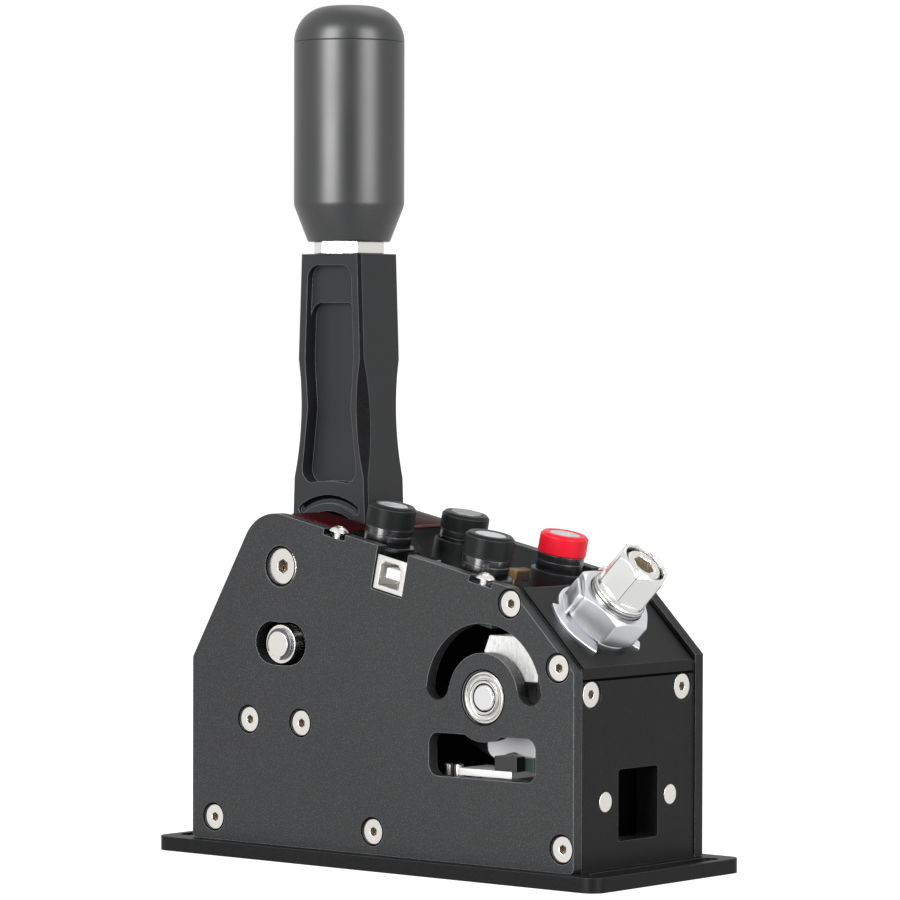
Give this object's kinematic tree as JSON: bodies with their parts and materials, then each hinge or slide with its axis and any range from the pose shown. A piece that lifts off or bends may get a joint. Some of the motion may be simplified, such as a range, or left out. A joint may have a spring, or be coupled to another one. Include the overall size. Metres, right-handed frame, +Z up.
{
  "type": "sequential gear shifter",
  "caption": "Floor-plate sequential shifter: plate housing, swinging lever with knob, shift cam with sprung detent, adjuster and push buttons.",
  "frame": {"origin": "centre of the base plate's underside", "axes": "+Z up, +Y to the rear where the lever stands, +X to the right seen from the front panel's rear"},
  "size_m": [0.074, 0.178, 0.2684],
  "materials": {
    "plate_anodised": "bead-blasted black anodised aluminium",
    "panel_anodised": "fine black anodised aluminium",
    "lever_anodised": "satin black anodised aluminium",
    "knob_satin": "satin grey anodised aluminium",
    "stainless": "turned stainless steel",
    "zinc_steel": "zinc-plated steel",
    "bearing_steel": "polished bearing steel",
    "raw_aluminium": "milled bare aluminium",
    "dark_steel": "black oxide steel",
    "bronze": "sintered bronze",
    "clear_cover": "clear acrylic with a red band round the lever",
    "circuit_board": "dark solder mask",
    "cap_black": "satin black moulded plastic",
    "cap_red": "red moulded plastic",
    "black_plastic": "black moulded plastic",
    "rubber": "black rubber",
    "connector": "plated connector shell"
  },
  "bodies": {
    "housing": {"base_plate": "plate_anodised", "side_plate_left": "plate_anodised", "side_plate_right": "plate_anodised", "front_panel": "panel_anodised", "nose_block": "panel_anodised", "rear_cover": "panel_anodised", "rear_rail": "panel_anodised", "mid_rail": "panel_anodised", "top_cover": "clear_cover", "control_board": "circuit_board", "usb_socket": "connector", "switch_bodies": "black_plastic", "button_guides": "black_plastic", "cover_screws": "stainless", "side_screws": "stainless", "panel_screws": "stainless", "dowel_pins": "stainless", "base_screws": "stainless", "pivot_shaft": "stainless", "pivot_screws": "stainless", "pivot_spacers": "raw_aluminium", "bearing_outer_rings": "bearing_steel", "barrel": "zinc_steel", "tab_washer": "zinc_steel", "locknut": "zinc_steel", "stop_block": "panel_anodised", "stop_bumpers": "rubber", "guide_block": "raw_aluminium", "guide_screws": "stainless", "sensor_bracket": "raw_aluminium", "sensor_head": "black_plastic", "sensor_board": "circuit_board", "bracket_screws": "stainless", "port_block": "raw_aluminium", "preload_spring": "zinc_steel"},
    "lever": {"lever": "lever_anodised", "lever_bushes": "bronze", "stop_pin": "stainless", "stop_rollers": "stainless", "stop_clips": "dark_steel", "jam_nut": "stainless", "knob_stud": "stainless", "knob": "knob_satin"},
    "link": {"link_bar": "dark_steel"},
    "cam": {"shift_cam": "raw_aluminium", "cam_shaft": "stainless", "cam_spacers": "raw_aluminium", "crank_pin": "stainless", "bearing_inner_rings": "bearing_steel"},
    "plunger": {"plunger_rod": "stainless", "plunger_fork": "dark_steel", "detent_roller": "bearing_steel", "roller_pin": "stainless"},
    "seat": {"spring_seat": "stainless"},
    "screw": {"preload_screw": "stainless"},
    "button_a": {"button_cap_a": "cap_black"},
    "button_b": {"button_cap_b": "cap_black"},
    "button_c": {"button_cap_c": "cap_black"},
    "button_d": {"button_cap_d": "cap_red"}
  },
  "joints": [
    {"name": "lever_swing", "type": "hinge", "parent": "housing", "child": "lever", "pos_m": [0, 0.0395, 0.09186], "axis": [1, 0, 0], "range_deg": [-9.5, 9.5], "stiffness_Nm_per_rad": 12},
    {"name": "link_turn", "type": "hinge", "parent": "lever", "child": "link", "pos_m": [0, 0.0395, 0.06756], "axis": [1, 0, 0], "range_deg": [-9.5, 9.5]},
    {"name": "cam_turn", "type": "hinge", "parent": "housing", "child": "cam", "pos_m": [0, -0.0423, 0.055], "axis": [1, 0, 0], "range_deg": [-9.5, 9.5]},
    {"name": "plunger_slide", "type": "slide", "parent": "housing", "child": "plunger", "axis": [0, -0.7071, 0.7071], "range_m": [0, 0.002], "stiffness_N_per_m": 6000, "springref_m": -0.004, "deforming": ["preload_spring"]},
    {"name": "preload_travel", "type": "slide", "parent": "housing", "child": "seat", "axis": [0, -0.7071, 0.7071], "range_m": [-0.004, 0.001], "deforming": ["preload_spring"]},
    {"name": "preload_turn", "type": "hinge", "parent": "seat", "child": "screw", "pos_m": [-0.0055, -0.07766, 0.09036], "axis": [0, -0.7071, 0.7071], "range_deg": [-961, 241]},
    {"name": "button_a_press", "type": "slide", "parent": "housing", "child": "button_a", "axis": [0, 0.2079, -0.9781], "range_m": [0, 0.0012], "stiffness_N_per_m": 800, "springref_m": -0.001},
    {"name": "button_b_press", "type": "slide", "parent": "housing", "child": "button_b", "axis": [0, 0.2079, -0.9781], "range_m": [0, 0.0012], "stiffness_N_per_m": 800, "springref_m": -0.001},
    {"name": "button_c_press", "type": "slide", "parent": "housing", "child": "button_c", "axis": [0, 0.2079, -0.9781], "range_m": [0, 0.0012], "stiffness_N_per_m": 800, "springref_m": -0.001},
    {"name": "button_d_press", "type": "slide", "parent": "housing", "child": "button_d", "axis": [0, 0.2079, -0.9781], "range_m": [0, 0.0012], "stiffness_N_per_m": 800, "springref_m": -0.001}
  ],
  "couplings": [
    {"joint": "link_turn", "follows": "lever_swing", "ratio": -1},
    {"joint": "cam_turn", "follows": "lever_swing", "ratio": 1},
    {"joint": "preload_turn", "follows": "preload_travel", "rad_per_m": 4188.8}
  ]
}
